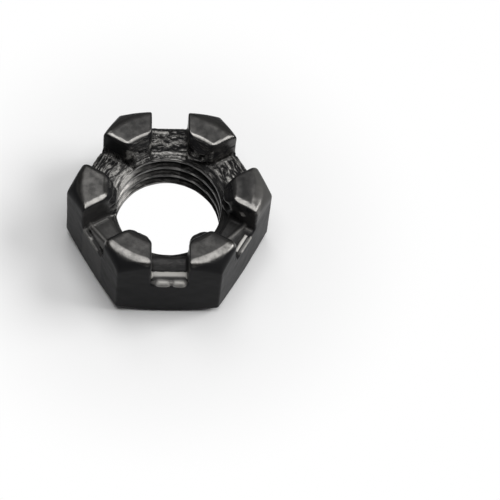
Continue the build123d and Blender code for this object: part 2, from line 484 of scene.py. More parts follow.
def slope(field, points, reach=0.01):
    """Gradient of a field by central differences: the change over a short step each way, over its length."""
    steps = reach * np.eye(3)
    return np.stack([field(points + step) - field(points - step) for step in steps], axis=1) / (2 * reach)


flat_middle = np.array([[0.0, FLAT_RADIUS, FLOOR_Z / 2]])
print("field in the middle of the back flat:", round(float(nut_field(flat_middle)[0]), 4))

# %% [markdown]
# ## A skin of grids
# The field says where the surface is, but a renderer needs faces. The nut is covered with grids of quads
# whose lines follow its edges: one for the flats, one for the hole, one for each wall, floor and prong. A
# column is a number c from -2 to 2 in each sixth of the nut. From -1 to 1 it runs across the slot,
# parallel to its walls, and beyond that it fans out to the corner of the hexagon. Grids that share an
# edge place the same points there, so they can be sewn into one closed skin afterwards.

# %% Columns and rows
END_RADIUS = 13.4
KNEE_ROW = 0.75
OUTLINE_ROUNDS, BORE_ROUNDS = 30, 6


def graded(count, share=0.6):
    """Steps from 0 to 1 that are finer at both ends: a mix of even steps and (1 - cos(pi t)) / 2."""
    t = np.linspace(0, 1, count + 1)
    return (1 - share) * t + share * (1 - np.cos(np.pi * t)) / 2


def column_angle(column, radius):
    """Angle from the slot's middle: arcsin of distance across over radius, then evenly to half a sector."""
    size = np.abs(column)
    across = np.arcsin(np.minimum(size, 1) * SLOT_HALF / radius)
    fan = np.clip(size - 1, 0, 1)
    return np.sign(column) * (across + fan * (SECTOR / 2 - across))


def outline_radius(column):
    """Radius where a column meets the hexagon: r = flat radius / cos(angle), repeated until it holds."""
    radius = np.full(np.shape(column), FLAT_RADIUS)
    for _ in range(OUTLINE_ROUNDS):
        radius = FLAT_RADIUS / np.cos(column_angle(column, radius))
    return radius


def bore_radius(column, sector, z):
    """Radius where a column meets the wall of the hole at a height, repeated until both agree."""
    radius = np.full(np.broadcast(column, sector, z).shape, MINOR_RADIUS)
    for _ in range(BORE_ROUNDS):
        turn = (sector + 0.5) * SECTOR + column_angle(column, radius)
        radius = thread_wall(turn, z)
    return radius


def crown_z(radius):
    """Height of the nut's sharp top at a radius: level, then down the cone."""
    return HEIGHT - np.clip(radius - CROWN_RADIUS, 0, None) * np.tan(CROWN_CONE)


def bearing_z(radius):
    """Height of the nut's sharp underside at a radius: level, then up the cone."""
    return np.clip(radius - BEARING_RADIUS, 0, None) * np.tan(BEARING_CONE)


def outward_share(row, column, knee):
    """Share of the way from the sink's mouth to the outline, with the row KNEE_ROW laid along a radius."""
    rim = (knee - SINK_MOUTH) / (outline_radius(column) - SINK_MOUTH)
    inner = rim * np.minimum(row, KNEE_ROW) / KNEE_ROW
    return inner + (1 - rim) * np.clip(row - KNEE_ROW, 0, None) / (1 - KNEE_ROW)


def rows_round_knee(inner, outer):
    """Rows from 0 to 1: some steps up to KNEE_ROW, and others from there on."""
    return np.union1d(KNEE_ROW * inner, KNEE_ROW + (1 - KNEE_ROW) * outer)


# How many steps each way, and how strongly they crowd at both ends
ACROSS_SLOT = 2 * graded(40, 0.5) - 1
FAN = 1 + graded(18, 0.5)
ALL_COLUMNS = np.concatenate([-FAN[:0:-1], ACROSS_SLOT, FAN[1:]])
OUT_ROWS = rows_round_knee(graded(28, 0.5), graded(16, 0.3))
UP_ROWS = graded(24, 0.5)

# Rows of one turn of the thread, in millimetres from the middle of its groove, closest at its edges
THREAD_ROWS = np.array([0, 0.1, 0.22, 0.38, 0.58, 0.74, 0.86, 1.02])
THREAD_ROWS = np.concatenate([-THREAD_ROWS[:0:-1], THREAD_ROWS, [PITCH / 2]])
print("columns in each sixth:", len(ALL_COLUMNS), "rows outward:", len(OUT_ROWS))
print("rows in each turn of the thread:", len(THREAD_ROWS))

# %% [markdown]
# Each grid below is a function of a column and a row, worked out as whole arrays for one sixth of the
# nut. The hole's rows climb with the thread, so that a crest always lies along a row, and are cut off at
# the floor's height.

# %% The grids
def at(column, sector, radius, z):
    """Points (r cos a, r sin a, z), where a is the sector's middle plus the column's angle."""
    turn = (sector + 0.5) * SECTOR + column_angle(column, radius)
    return np.stack(np.broadcast_arrays(radius * np.cos(turn), radius * np.sin(turn), z), axis=-1)


def floor_grid(sector):
    """A slot's floor: the radius goes by row from the thread to the flat, at the floor's height."""
    column, row = np.meshgrid(ACROSS_SLOT, OUT_ROWS)
    inner = bore_radius(column, sector, FLOOR_Z)
    share = outward_share(row, 1.0, END_RADIUS)
    return at(column, sector, inner + share * (outline_radius(column) - inner), FLOOR_Z)


def wall_grid(sector, side):
    """A wall of a slot: the radius goes by column from thread to flat, z by row from floor to top."""
    out, up = np.meshgrid(OUT_ROWS, UP_ROWS)
    share = outward_share(out, 1.0, END_RADIUS)
    outer = outline_radius(1.0)
    top = crown_z(SINK_MOUTH + share * (outer - SINK_MOUTH))
    inner = bore_radius(side, sector, FLOOR_Z + up * (HEIGHT - FLOOR_Z))
    return at(side, sector, inner + share * (outer - inner), FLOOR_Z + up * (top - FLOOR_Z))


def prong_top_grid(sector, side):
    """Half a prong's top: the radius goes by row from the sink's mouth to the outline, on the crown."""
    column, row = np.meshgrid(side * FAN, OUT_ROWS)
    share = outward_share(row, column, END_RADIUS)
    radius = SINK_MOUTH + share * (outline_radius(column) - SINK_MOUTH)
    return at(column, sector, radius, crown_z(radius))


def prong_side_grid(sector, side):
    """Half a prong's outside: on the outline, with z by row from the floor's height to the crown."""
    column, up = np.meshgrid(side * FAN, UP_ROWS)
    radius = outline_radius(column)
    return at(column, sector, radius, FLOOR_Z + up * (crown_z(radius) - FLOOR_Z))


def prong_bore_grid(sector, side):
    """Half a prong's threaded inside: on the hole's wall, with z by row from the floor to the top."""
    column, up = np.meshgrid(side * FAN, UP_ROWS)
    z = FLOOR_Z + up * (HEIGHT - FLOOR_Z)
    return at(column, sector, bore_radius(column, sector, z), z)


def flats_grid(sector):
    """A sixth of the outside: on the outline, with z by row from the bearing cone to the slots' floor."""
    column, up = np.meshgrid(ALL_COLUMNS, graded(26, 0.7))
    radius = outline_radius(column)
    return at(column, sector, radius, bearing_z(radius) + up * (FLOOR_Z - bearing_z(radius)))


def bearing_grid(sector):
    """A sixth of the underside: the radius goes by row from the sink to the outline, on the cone."""
    column, row = np.meshgrid(ALL_COLUMNS, rows_round_knee(graded(12), graded(6)))
    share = outward_share(row, column, BEARING_RADIUS)
    radius = SINK_MOUTH + share * (outline_radius(column) - SINK_MOUTH)
    return at(column, sector, radius, bearing_z(radius))


def thread_grid(sector):
    """A sixth of the hole below the slots: on its wall, with rows that climb one pitch in each turn."""
    turns = np.arange(-1, int(np.ceil(FLOOR_Z / PITCH)) + 1)
    rise = (turns[:, None] * PITCH + THREAD_ROWS[None, :]).ravel()
    column, row = np.meshgrid(ALL_COLUMNS, rise)
    turn = (sector + 0.5) * SECTOR + column_angle(column, MINOR_RADIUS)
    z = np.clip(row + climb_at(turn), 0, FLOOR_Z)
    return at(column, sector, bore_radius(column, sector, z), z)


print("rows and columns in a sixth of the thread:", thread_grid(0).shape[:2])
print("rows and columns on the floor of a slot:", floor_grid(0).shape[:2])

# %% [markdown]
# Sewing is done on the numbers: points that agree to a millionth of a millimetre become one point. Quads
# that the hole's cut-off rows have squeezed lose a corner or vanish. A closed skin has every edge in
# exactly two faces, so that is counted and printed.

# %% Sew the grids together
def grid_quads(rows, columns, start, flip):
    """Quads of a grid whose points are numbered row by row from start, turned over where flip is set."""
    index = start + np.arange(rows * columns).reshape(rows, columns)
    corners = [index[:-1, :-1], index[1:, :-1], index[1:, 1:], index[:-1, 1:]]
    quads = np.stack(corners, axis=-1).reshape(-1, 4)
    return quads if flip else quads[:, ::-1]


def all_grids():
    """Every grid of the skin with whether it has to be turned over for its front to face out."""
    for sector in range(SIDES):
        yield floor_grid(sector), True
        yield flats_grid(sector), False
        yield thread_grid(sector), True
        yield bearing_grid(sector), False
        for side in (-1, 1):
            fan_back = side < 0
            yield wall_grid(sector, side), fan_back
            yield prong_top_grid(sector, side), not fan_back
            yield prong_side_grid(sector, side), fan_back
            yield prong_bore_grid(sector, side), not fan_back


def sew(grids, digits=6):
    """One list of points and one list of quads, with equal points made one."""
    points, quads, start = [], [], 0
    for grid, flip in grids:
        points.append(grid.reshape(-1, 3))
        quads.append(grid_quads(grid.shape[0], grid.shape[1], start, flip))
        start += grid.shape[0] * grid.shape[1]
    points, quads = np.concatenate(points), np.concatenate(quads)
    rounded = np.round(points, digits)
    _, first, place = np.unique(rounded, axis=0, return_index=True, return_inverse=True)
    return points[first], place.ravel()[quads]


def drop_squeezed(quads):
    """Quads with four different corners, and triangles from those with two equal neighbours."""
    same = quads == np.roll(quads, -1, axis=1)
    whole = quads[same.sum(axis=1) == 0]
    triangles = [np.delete(quads[same[:, k] & (same.sum(axis=1) == 1)], k, axis=1) for k in range(4)]
    return whole, np.concatenate(triangles)


def open_edges(quads, triangles):
    """Number of edges that aren't shared by exactly two faces."""
    edges = [np.stack([quads[:, k], quads[:, (k + 1) % 4]], axis=1) for k in range(4)]
    edges += [np.stack([triangles[:, k], triangles[:, (k + 1) % 3]], axis=1) for k in range(3)]
    edges = np.sort(np.concatenate(edges), axis=1)
    shared = np.unique(edges, axis=0, return_counts=True)[1]
    return int((shared != 2).sum())


skin_points, skin_quads = sew(all_grids())
skin_quads, skin_triangles = drop_squeezed(skin_quads)
triangle_count = 2 * len(skin_quads) + len(skin_triangles)
print("skin:", len(skin_points), "points,", triangle_count, "triangles")
print("open edges:", open_edges(skin_quads, skin_triangles))

# %% [markdown]
# ## Settling the skin onto the steel
# The grids stand on the nut's sharp form. Each point now slides along the field's slope until the field
# is zero there, which is Newton's method in space: move by the value over the slope's length squared. A
# few rounds bring nearly every point onto the rounded surface, and the largest distance that is left is
# printed. Marching through a lattice of cubes would find the surface too, but its faces wouldn't follow
# the nut's edges.

# %% Settle
SMALLEST_SLOPE = 0.2


def settle(points, rounds=8, longest=0.25):
    """Moves points by -value * slope / |slope|^2, never further than longest at a time, onto the surface."""
    for _ in range(rounds):
        value = nut_field(points)
        direction = slope(nut_field, points)
        size = np.maximum(np.linalg.norm(direction, axis=1), SMALLEST_SLOPE)
        move = np.clip(value / size, -longest, longest)
        points = points - direction * (move / size)[:, None]
    return points


skin_points = settle(skin_points)
print("largest distance left, millimetres:", round(float(np.abs(nut_field(skin_points)).max()), 4))

# %% [markdown]
# ## Where a point lies
# Relief, wear and torn steel all ask the same questions about a point: how far back it is from the flat,
# how far past the slot's wall, how far round and up the thread. They are answered once here. The thread
# is unrolled into three plain lengths, so that noise drawn out along the first of them runs along the
# thread on the nut.

# %% Places on the nut
THREAD_FADE = (-0.2, 0.5)


class Place:
    """Points in the frame of their slot, of the hole and of their prong, all in millimetres and radians."""

    def __init__(self, points):
        self.points = points
        self.out, self.across, self.number = to_slot(points)
        self.back = FLAT_RADIUS - self.out
        self.beside = np.abs(self.across) - SLOT_HALF
        self.side = (self.across > 0).astype(int)
        self.is_back = self.number < FIRST_FRONT_SLOT
        self.x, self.y, self.z = points.T
        self.radius = np.hypot(self.x, self.y)
        self.turn = np.arctan2(self.y, self.x)
        self.prong = np.round(self.turn / SECTOR).astype(int) % SIDES
        self.in_slot = (self.beside < 0) * (self.radius > MAJOR_RADIUS)
        self.on_thread = 1 - ease(*THREAD_FADE, self.radius - MAJOR_RADIUS)
        self.unrolled = np.stack([self.radius * self.turn, self.z - climb_at(self.turn), self.radius], axis=1)


skin_place = Place(skin_points)
print("points in a slot:", int(skin_place.in_slot.sum()))
print("points on the thread:", int((skin_place.on_thread > 0).sum()))

# %% [markdown]
# ## Relief
# The faces aren't flat at the scale of tenths of a millimetre. The tumbled outside is gently uneven. The
# cutter left streaks across the slots, and behind the thread of two prongs it tore lumps out of the
# steel. The tap left streaks that climb with the thread. A bump in the material could only pretend to be
# this, and the lumps are large enough to hide one another, so the points themselves move. All of it goes
# inwards, and the nut grows nowhere. The cutter's own marks are a few hundredths of a millimetre apart,
# too fine to show at this distance, and are drawn about ten times as wide.

# %% Relief
SWELL_DEPTH, SWELL_CELL = 0.03, 3.0
PITTING_DEPTH, PITTING_CELL = 0.006, 0.8
MILLED_DEPTH, MILLED_CELL, MILLED_NEAR = 0.13, (0.55, 2.2, 1.0), 0.5
TAPPED_DEPTH, TAPPED_CELL, TAPPED_FADE = 0.035, (3.0, 0.34, 0.6), 0.4
LUMP_DEPTH, LUMP_CELL, LUMPS_FROM_Y = 0.4, (1.6, 1.6, 1.1), 4.0
FRONT_MILLED, FRONT_LUMPS = 0.08, 0.3
LUMP_RISE, LUMP_FADE = 0.8, (-2.2, -1.4)
WANDER, WANDER_CELL, MILLED_LAYER = 0.35, 1.4, 9.0
NOISE_LIFT = 1.2


def lump_noise(points):
    """Noise of lumps between one and two millimetres across."""
    return rough_noise(points, LUMP_CELL, Seed.lumps)


def wander(points):
    """How far a cutter's streak strays from a straight line, in millimetres."""
    return WANDER * noise(points, WANDER_CELL, Seed.wander)


def milled_streaks(place):
    """Noise at (out + wander, across, a layer for each slot), in cells drawn out across the slots."""
    layer = MILLED_LAYER * place.number
    where = np.stack([place.out + wander(place.points), place.across, layer], axis=1)
    return rough_noise(where, MILLED_CELL, Seed.milled)


def relief_depth(place):
    """Depth below the smooth surface: the sum of each pattern's depth times its noise, lifted above 0."""
    swell = SWELL_DEPTH * (NOISE_LIFT + rough_noise(place.points, SWELL_CELL, Seed.swell))
    pitting = PITTING_DEPTH * (NOISE_LIFT + rough_noise(place.points, PITTING_CELL, Seed.pitting))
    near_floor = place.in_slot * bump(place.z - FLOOR_Z, MILLED_NEAR)
    milled = MILLED_DEPTH * near_floor * np.where(place.is_back, 1.0, FRONT_MILLED)
    milled = milled * (1 - milled_streaks(place))
    in_hole = 1 - ease(0, TAPPED_FADE, place.radius - MAJOR_RADIUS)
    tapped = TAPPED_DEPTH * in_hole * (1 + rough_noise(place.unrolled, TAPPED_CELL, Seed.tapped))
    above = ease(0, LUMP_RISE, place.z - FLOOR_Z) * (1 - ease(*LUMP_FADE, place.z - HEIGHT))
    share = np.where(place.y > LUMPS_FROM_Y, 1.0, FRONT_LUMPS)
    lumps = LUMP_DEPTH * in_hole * above * share * (1 - lump_noise(place.points)) / 2
    return swell + pitting + milled + tapped + lumps


def roughen(points):
    """Moves points inwards, along the slope of the smooth surface, by the depth of the relief."""
    direction = slope(nut_field, points)
    direction /= np.linalg.norm(direction, axis=1, keepdims=True)
    return points - direction * relief_depth(Place(points))[:, None]


smooth_points = skin_points
skin_points = roughen(smooth_points)
moved = np.linalg.norm(skin_points - smooth_points, axis=1)
print("deepest relief, millimetres:", round(float(moved.max()), 3))

# %% [markdown]
# ## Wear
# Blackened nuts rub on each other in the barrel and in the box, and the black wears off first where they
# touch: on the level tops of the prongs, on the edges of the mouths and on the shoulder of the crown. A
# screw rubs the thread. Wear could be read off the bend of the surface alone, but real nuts wear by
# chance, one prong more than the next, so each prong and each mouth has its own share. The result, from 0
# where the black is whole to 1 where the steel is bare, is kept on the mesh, and the material reads it
# there.

# %% Wear on the tops and edges
RIGHT_PRONG = 0

# One share for each prong, counted from the right one at +X towards +Y
PRONG_WEAR = np.array([0.88, 1.3, 1.35, 1.8, 1.15, 1.2])
BRIM_WEAR = np.array([0.1, 0.9, 0.9, 0.12, 0.1, 0.1])
SHOULDER_WEAR = np.array([0.12, 0.1, 0.1, 0.05, 0.62, 0.68])
CORNER_WEAR = 0.7
TOP_WEAR, TOP_BLOTCHES, TOP_CELL = 0.14, 0.25, 1.6
INSIDE_SHARE, RIM_GAIN, RIM_FADE = 0.75, 0.6, (0.8, 1.6)
CROWN_DEPTH, BROW_DEPTH = 2.0, 1.0
TOP_RIM = 14.2
STROKE_RADIUS, STROKE_END, STROKE_FADE = 13.9, 0.85, (0.45, 0.8)
CORNER_FADE, CORNER_REACH = (0.5, 1.0), (1.8, 3.4)
MOUTH_REACH, BRIM_REACH = (1.0, 1.4), (10.9, 11.2)

# How far up a normal points, as its z, where a face counts as level, as leaning, and as too level for a brow
LEVEL, LEANING, TOO_LEVEL = (0.84, 0.93), (0.88, 0.95), (0.985, 0.998)


def off_stroke(place):
    """Distance from a stroke round the shoulder, at STROKE_RADIUS, that starts STROKE_END beside a slot."""
    return np.hypot(np.clip(STROKE_END - place.beside, 0, None), place.radius - STROKE_RADIUS)


def top_wear(place, upward):
    """The level tops: each prong's share, blotched by noise. The right prong is lighter along its rim."""
    from_rim = np.minimum(np.minimum(place.beside, place.radius - SINK_MOUTH), TOP_RIM - place.radius)
    rim = np.where(place.prong == RIGHT_PRONG, INSIDE_SHARE + RIM_GAIN * (1 - ease(*RIM_FADE, from_rim)), 1.0)
    blotches = 1 + TOP_BLOTCHES * rough_noise(place.points, TOP_CELL, Seed.tops)
    level = ease(*LEVEL, upward) * (place.z > HEIGHT - CROWN_DEPTH)
    return TOP_WEAR * level * rim * PRONG_WEAR[place.prong] * blotches


def shoulder_wear(place):
    """The larger of broad strokes round the shoulder and one round the right prong's outer corner."""
    on_crown = place.z > HEIGHT - CROWN_DEPTH
    stroke = SHOULDER_WEAR[place.prong] * (1 - ease(*STROKE_FADE, off_stroke(place)))
    corner = CORNER_WEAR * (place.number == FRONT_RIGHT_SLOT) * (place.across > 0)
    corner = corner * (1 - ease(*CORNER_REACH, place.beside)) * (1 - ease(*CORNER_FADE, off_stroke(place)))
    return np.maximum(stroke, corner) * on_crown


def edge_wear(place, upward):
    """Each mouth's or brim's share times how plainly the face leans without being level: the brows."""
    mouth = SlotEnds.mouth_wear[place.side, place.number] * (1 - ease(*MOUTH_REACH, place.beside))
    rub = np.maximum(mouth, BRIM_WEAR[place.prong] * (1 - ease(*BRIM_REACH, place.radius)))
    leaning = ease(*LEANING, upward) * (1 - ease(*TOO_LEVEL, upward))
    return rub * leaning * (place.z > HEIGHT - BROW_DEPTH) * (place.radius < TOP_RIM)


print("points under the strokes:", int((off_stroke(skin_place) < STROKE_FADE[0]).sum()))

# %% [markdown]
# The thread shines in thin lines where the screw rubbed it. Its left side is made more rubbed and lighter
# than its right, and one patch there most of all: partly wear, and partly a painted highlight where that
# side catches the light. Streaks of noise along the unrolled thread give the lines, and a bell round the
# patch's angle gives the patch. The floors and walls of the slots are only a little rubbed.

# %% Wear on the thread and in the slots
LEFT_PATCH, PATCH_WIDTH = np.radians(147), 0.25
RUBBED_CELL = (4.0, 0.3, 0.5)
# The shares of the thread's left side and of its patch are partly wear and partly painted highlight
LEFT_THREAD_WEAR_AND_HIGHLIGHT, RIGHT_THREAD_WEAR, RIGHT_FROM_X = 0.3, 0.08, 2.0
PATCH_WEAR_AND_HIGHLIGHT, PATCH_STREAKS = 1.1, (0.25, 0.7)
THREAD_TOP, BEHIND_LEDGE = 0.1, (0.0, 0.1)
FLOOR_WEAR, FLOOR_NEAR = 0.075, 0.6
WALL_BLOTCHES, WALL_CELL, WALL_MARGIN = (0.35, 0.6), 1.2, 0.2


def thread_wear_and_highlight(place):
    """The larger of share times streaks along the thread and a bell round the patch times streaks: wear, with
    a painted highlight on the left.
    """
    streaks = 0.5 + 0.5 * rough_noise(place.unrolled, RUBBED_CELL, Seed.rubbed)
    share = np.where(place.x < RIGHT_FROM_X, LEFT_THREAD_WEAR_AND_HIGHLIGHT, RIGHT_THREAD_WEAR)
    lines = share * streaks * (place.z < FLOOR_Z + THREAD_TOP)
    patch = PATCH_WEAR_AND_HIGHLIGHT * ease(*PATCH_STREAKS, streaks) * bump(place.turn - LEFT_PATCH, PATCH_WIDTH)
    return np.maximum(lines, patch) * place.on_thread


def slot_wear(place):
    """The larger of the front floors' share behind the ledge and the walls' share in blotches."""
    behind_ledge = ease(*BEHIND_LEDGE, place.back - SlotEnds.ledge_back[place.number])
    floors = FLOOR_WEAR * place.in_slot * ~place.is_back * bump(place.z - FLOOR_Z, FLOOR_NEAR)
    floors = floors * behind_ledge
    blotches = ease(*WALL_BLOTCHES, 0.5 + 0.5 * rough_noise(place.points, WALL_CELL, Seed.walls))
    walls = SlotEnds.wall_wear[place.side, place.number] * blotches * (place.beside < WALL_MARGIN)
    walls = walls * (place.z > FLOOR_Z + WALL_MARGIN) * (place.z < HEIGHT - WALL_MARGIN)
    return np.maximum(floors, walls)


def wear(place):
    """The strongest wear of any kind at each point, from 0 to 1, with the thread's painted highlight among
    them.
    """
    normal = slope(nut_field, place.points)
    upward = normal[:, 2] / np.linalg.norm(normal, axis=1)
    kinds = [edge_wear(place, upward), shoulder_wear(place), top_wear(place, upward)]
    kinds += [thread_wear_and_highlight(place), slot_wear(place)]
    return np.clip(np.maximum.reduce(kinds), 0, 1)


skin_place = Place(smooth_points)
skin_wear_and_highlight = wear(skin_place)
print("worn share of the points:", round(float((skin_wear_and_highlight > 0.1).mean()), 3))

# %% [markdown]
# ## Torn steel
# Where the cutter tore the steel the surface is dull and light: the lips, ridges and burrs at the slots'
# ends, the drops, the coarse floors of the back slots and the lumps behind the thread. Rubbed steel is a
# mirror that shows the lamps, and torn steel is grey from every side, so it gets a share of its own,
# again from 0 to 1. The same light grey is also painted highlight: along the middles of the burrs, on the
# tops of the front bars, in two lines at the inner end of the back slot and on the left of the thread. On
# the walls of two front slots it is painted light.

# %% Torn steel at the slots' ends
LIP_TORN_EDGE, LIP_TORN_END, LIP_TORN_SIDE = (-0.02, 0.08), (0.0, 0.2), (-0.25, 0.0)
# Heights above the floor over which the front bars' painted highlight begins
LIP_HIGHLIGHT_FROM = (0.08, 0.16)
BACK_LINE, FRONT_LINE = 0.16, 0.26
FOOT_TORN, FOOT_TORN_WIDTH = 0.28, 0.22
BURR_SKIN, BURR_FADE, BURR_INWARD, BURR_OUTWARD = (0.02, 0.08), (0.3, 1.25), 0.8, 0.36
BURR_BLOTCHES, BURR_CELL = 0.25, 0.7
DROP_TORN, DROP_SKIN = 0.65, (0.02, 0.1)


def torn_lip_and_highlight(place):
    """The top of the lip or bar, short of the slot's walls: torn steel, and on the front bars a painted
    highlight.
    """
    number = place.number
    off_lip = np.abs(place.back - SlotEnds.lip_back[number]) - SlotEnds.lip_half[number]
    lip = SlotEnds.lip_torn_and_highlight[number] * place.in_slot * (1 - ease(*LIP_TORN_EDGE, off_lip))
    lip = lip * (1 - ease(*LIP_TORN_END, beside_lip(place.across, number)))
    lip = lip * (1 - ease(*LIP_TORN_SIDE, place.beside))
    # In the front slots only the upper part is light, a painted highlight on the bar's top, and its foot
    # stays black
    return lip * np.where(place.is_back, 1.0, ease(*LIP_HIGHLIGHT_FROM, place.z - FLOOR_Z))


def torn_lines(place):
    """The ridge, the step and the foot of a wall: bells round their lines, near the floor's height."""
    across, number = place.across, place.number
    near_floor = place.in_slot * bump(place.z - FLOOR_Z, FLOOR_NEAR)
    waved = strayed(place.back, across, number)
    width = np.where(place.is_back, BACK_LINE, FRONT_LINE)
    ridge = SlotEnds.ridge_torn[number] * bump(waved - ridge_line(across, number), width)
    step = SlotEnds.step_torn[number] * bump(waved - SlotEnds.step_back[number], BACK_LINE)
    foot = bump(across * SlotEnds.foot_side[number] - FOOT_ACROSS, FOOT_TORN_WIDTH)
    foot = foot * along_foot(place.back, number)
    foot = FOOT_TORN * (SlotEnds.foot_height[number] > 0) * foot
    return np.maximum.reduce([ridge, step, foot]) * near_floor


def torn_burrs_and_highlight(place):
    """The burr's lumps, torn steel with a painted highlight along their middles, and the drops."""
    across, number = place.across, place.number
    past_end = np.abs(across[:, None] - SlotEnds.burr_middles[number]) - SlotEnds.burr_halves[number]
    past_end = past_end.min(axis=1)
    # A painted highlight: the share peaks along the lump's middle, where it would catch the light, and fades
    # inward to the crease and outward to its foot
    inward = bump(place.back, BURR_INWARD * SlotEnds.burr_radius[number])
    lumps = np.where(place.back > 0, inward, bump(place.back, BURR_OUTWARD))
    lumps = lumps * (1 - ease(*BURR_FADE, past_end / SlotEnds.burr_radius[number]))
    skin = 1 - ease(*BURR_SKIN, burr_field(place.out, across, place.z, number))
    blotches = 1 + BURR_BLOTCHES * rough_noise(place.points, BURR_CELL, Seed.burrs)
    drops = DROP_TORN * (1 - ease(*DROP_SKIN, drop_field(place.out, across, place.z, number)))
    return np.maximum(SlotEnds.burr_torn_and_highlight[number] * skin * lumps * blotches, drops)


print("points on torn lips and bars:", int((torn_lip_and_highlight(skin_place) > 0).sum()))
print("points on torn burrs and drops:", int((torn_burrs_and_highlight(skin_place) > 0).sum()))

# %% [markdown]
# Further in, the back slots' floors are torn in streaks. At the inner end of the slot at the back, where
# the thread starts, two light lines are a painted highlight of the edge there. Lumps of steel are missing
# behind the thread of the back prongs. The shoulder of the right prong is lighter, and without gloss. The
# shares could be painted on by hand. Here the same noise that cut the relief also says where the steel is
# torn, so light and form agree.

# %% Torn steel in the slots and round the hole
TORN_FLOORS, FLOOR_STREAKS = 0.8, (0.3, 0.9)
BACK_SLOT = 1
# Where the two painted highlight lines lie, out from the axis, and how strong they are
INNER_LINE, INNER_LINE_END = (9.3, 9.36), (9.56, 9.64)
SECOND_LINE, SECOND_WIDTH, SECOND_SHARE = 9.0, 0.06, 0.6
LINES_NEAR, LINES_MARGIN, HIGHLIGHT_LINES_SHARE, LINES_LEAN = 0.8, 0.15, 0.65, 0.1
THREAD_TORN_CELL, THREAD_STREAKS = (3.0, 0.3, 0.35), (0.0, 0.45)
# The extra share on the thread's left and in its patch is painted highlight
LEFT_TORN_AND_HIGHLIGHT, THREAD_TORN, PATCH_TORN_AND_HIGHLIGHT = 0.12, 0.02, 0.65
TORN_LUMPS, LUMP_LEVELS, LUMPS_TOP = 0.75, (0.05, 0.45), 1.6
# Painted light on the walls of two front slots, standing in for light there, and a lighter right shoulder
FRONT_WALL_PAINTED_LIGHT, LEFT_WALL_PAINTED_LIGHT, WALL_NEAR = 0.1, 0.05, 0.1
RIGHT_SHOULDER_LIGHTER, LIGHTER_START, LIGHTER_HEIGHT, LIGHTER_MARGIN = 0.14, (13.3, 14.0), (-4.5, -3.0), 0.3


def torn_floors_and_highlight(place):
    """The back slots' floors, torn where the milled streaks are high, and two painted highlight lines at the
    inner end of one.
    """
    near_floor = place.in_slot * bump(place.z - FLOOR_Z, FLOOR_NEAR)
    floors = TORN_FLOORS * near_floor * place.is_back * ease(*FLOOR_STREAKS, milled_streaks(place))
    lines = ease(*INNER_LINE, place.out) * (1 - ease(*INNER_LINE_END, place.out))
    lines = lines + SECOND_SHARE * bump(place.out - SECOND_LINE, SECOND_WIDTH)
    lines = lines * bump(place.z - FLOOR_Z, LINES_NEAR) * (place.number == BACK_SLOT)
    lines = lines * (place.beside < -LINES_MARGIN) * (HIGHLIGHT_LINES_SHARE + LINES_LEAN * place.across)
    return np.maximum(floors, lines)


def torn_hole_and_highlight(place):
    """Streaks along the thread, lighter on its left and in its patch as painted highlight, and the edges of
    the lumps behind it.
    """
    streaks = ease(*THREAD_STREAKS, rough_noise(place.unrolled, THREAD_TORN_CELL, Seed.rubbed))
    share = LEFT_TORN_AND_HIGHLIGHT * (place.x < RIGHT_FROM_X) + THREAD_TORN
    share = share + PATCH_TORN_AND_HIGHLIGHT * bump(place.turn - LEFT_PATCH, PATCH_WIDTH)
    lumps = TORN_LUMPS * ease(*LUMP_LEVELS, -lump_noise(place.points))
    lumps = lumps * (place.radius < SINK_MOUTH) * (place.y > LUMPS_FROM_Y)
    lumps = lumps * (place.z > FLOOR_Z) * (place.z < HEIGHT - LUMPS_TOP)
    return np.maximum(share * streaks * place.on_thread, lumps)


def lighter_sides(place):
    """A little painted light on the walls of two front slots, and the right prong's shoulder, lighter and
    without gloss.
    """
    wall = (place.beside < WALL_NEAR) * (place.radius > MAJOR_RADIUS)
    front = FRONT_WALL_PAINTED_LIGHT * (place.number == FRONT_SLOT) * (place.z > FLOOR_Z + WALL_MARGIN)
    left = LEFT_WALL_PAINTED_LIGHT * (place.number == FIRST_FRONT_SLOT)
    shoulder = RIGHT_SHOULDER_LIGHTER * (place.prong == RIGHT_PRONG) * (place.beside > LIGHTER_MARGIN)
    shoulder = shoulder * ease(*LIGHTER_START, place.radius) * ease(*LIGHTER_HEIGHT, place.z - HEIGHT)
    return np.maximum((front + left) * wall, shoulder)


def torn(place):
    """The strongest share of torn steel or painted highlight of any kind at each point, from 0 to 1."""
    kinds = [torn_lip_and_highlight, torn_lines, torn_burrs_and_highlight, torn_floors_and_highlight, torn_hole_and_highlight, lighter_sides]
    return np.clip(np.maximum.reduce([kind(place) for kind in kinds]), 0, 1)


skin_torn_and_highlight = torn(skin_place)
print("torn share of the points:", round(float((skin_torn_and_highlight > 0.1).mean()), 3))

# %% [markdown]
# ## The tools' grain
# A cutter and a tap leave fine parallel scratches, and the outside keeps the grain of the bar. One noise
# texture can draw all three if it reads coordinates that are squeezed across the scratches and stretched
# along them, so each point carries such coordinates, one unit to a grain. The real scratches are
# hundredths of a millimetre apart. At this distance they would blur to an even grey, so they are drawn
# about 0.2 mm apart. A second number says how strongly the tools marked the steel there: much in the back
# slots and the hole, little elsewhere.

# %% Grain and how strong it is
MILLED_GRAIN, MILLED_LENGTH = 0.22, 1.3
TAPPED_GRAIN, TAPPED_LENGTH, TAPPED_LAYER = 0.18, 1.6, 0.3
BAR_GRAIN = 0.25
SLOT_LAYER, TAPPED_STRAY = 7.0, 0.5
CUT_MARGIN, CUT_FROM, CUT_TO = 0.05, -0.6, 1.5
HOLE_MARGIN, HOLE_BELOW = 0.4, 0.3
FRONT_SLOT_CUT, FRONT_HOLE_CUT, GROOVE_CUT, GROOVE_EDGE = 0.08, 0.15, 0.15, (0.35, 0.8)
TORN_HIDES_CUT = 0.75


